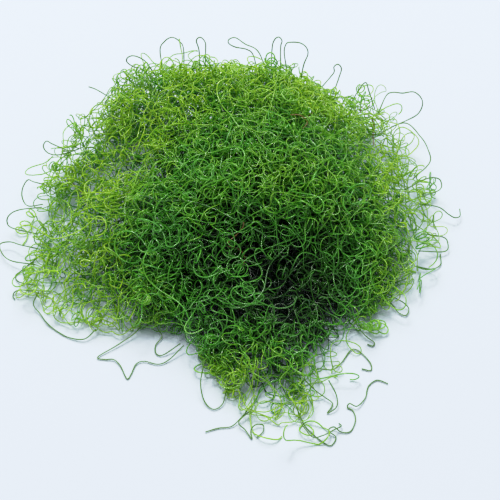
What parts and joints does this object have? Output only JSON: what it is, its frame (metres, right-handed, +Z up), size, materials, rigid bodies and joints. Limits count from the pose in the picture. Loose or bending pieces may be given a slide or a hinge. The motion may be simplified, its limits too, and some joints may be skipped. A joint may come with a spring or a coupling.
{
  "type": "spaghetti algae",
  "caption": "Loose clump of tangled, hair-thin green algae filaments: a low mound with a thin skirt and stray loops, lying on its flat underside.",
  "frame": {"origin": "centre of the clump's footprint box, on the surface it rests on", "axes": "+Z up, +X along the clump's longest side, -Y towards the end where the skirt narrows to a tongue"},
  "size_m": [0.1375, 0.1291, 0.0395],
  "materials": {
    "matted_filaments": "wet green filaments, deep green where they are packed",
    "stray_filament": "wet yellow-green filament that lets light through"
  },
  "bodies": {
    "root": {"tangle": "matted_filaments", "back_arch": "stray_filament", "back_left_bow": "stray_filament", "back_left_end": "stray_filament", "back_narrow_bow": "stray_filament", "back_right_bow": "stray_filament", "back_right_peak": "stray_filament", "back_small_bow": "stray_filament", "back_tall_bow": "stray_filament", "back_wide_arc": "stray_filament", "front_left_arch": "stray_filament", "front_left_bow": "stray_filament", "front_left_end": "stray_filament", "front_right_curl": "stray_filament", "front_spike": "stray_filament", "hollow_curl": "stray_filament", "hollow_wave": "stray_filament", "left_far_bow": "stray_filament", "left_high_bow": "stray_filament", "left_hook": "stray_filament", "left_long_edge": "stray_filament", "left_low_bow": "stray_filament", "left_shoulder_bow": "stray_filament", "left_upper_bow": "stray_filament", "right_edge_bow": "stray_filament", "right_end_hook": "stray_filament", "right_great_bow": "stray_filament", "right_hook": "stray_filament", "right_low_bow": "stray_filament", "right_middle_bow": "stray_filament", "right_upper_arc": "stray_filament", "right_whisker": "stray_filament", "tail_spur": "stray_filament", "trailing_tail": "stray_filament"}
  },
  "joints": []
}
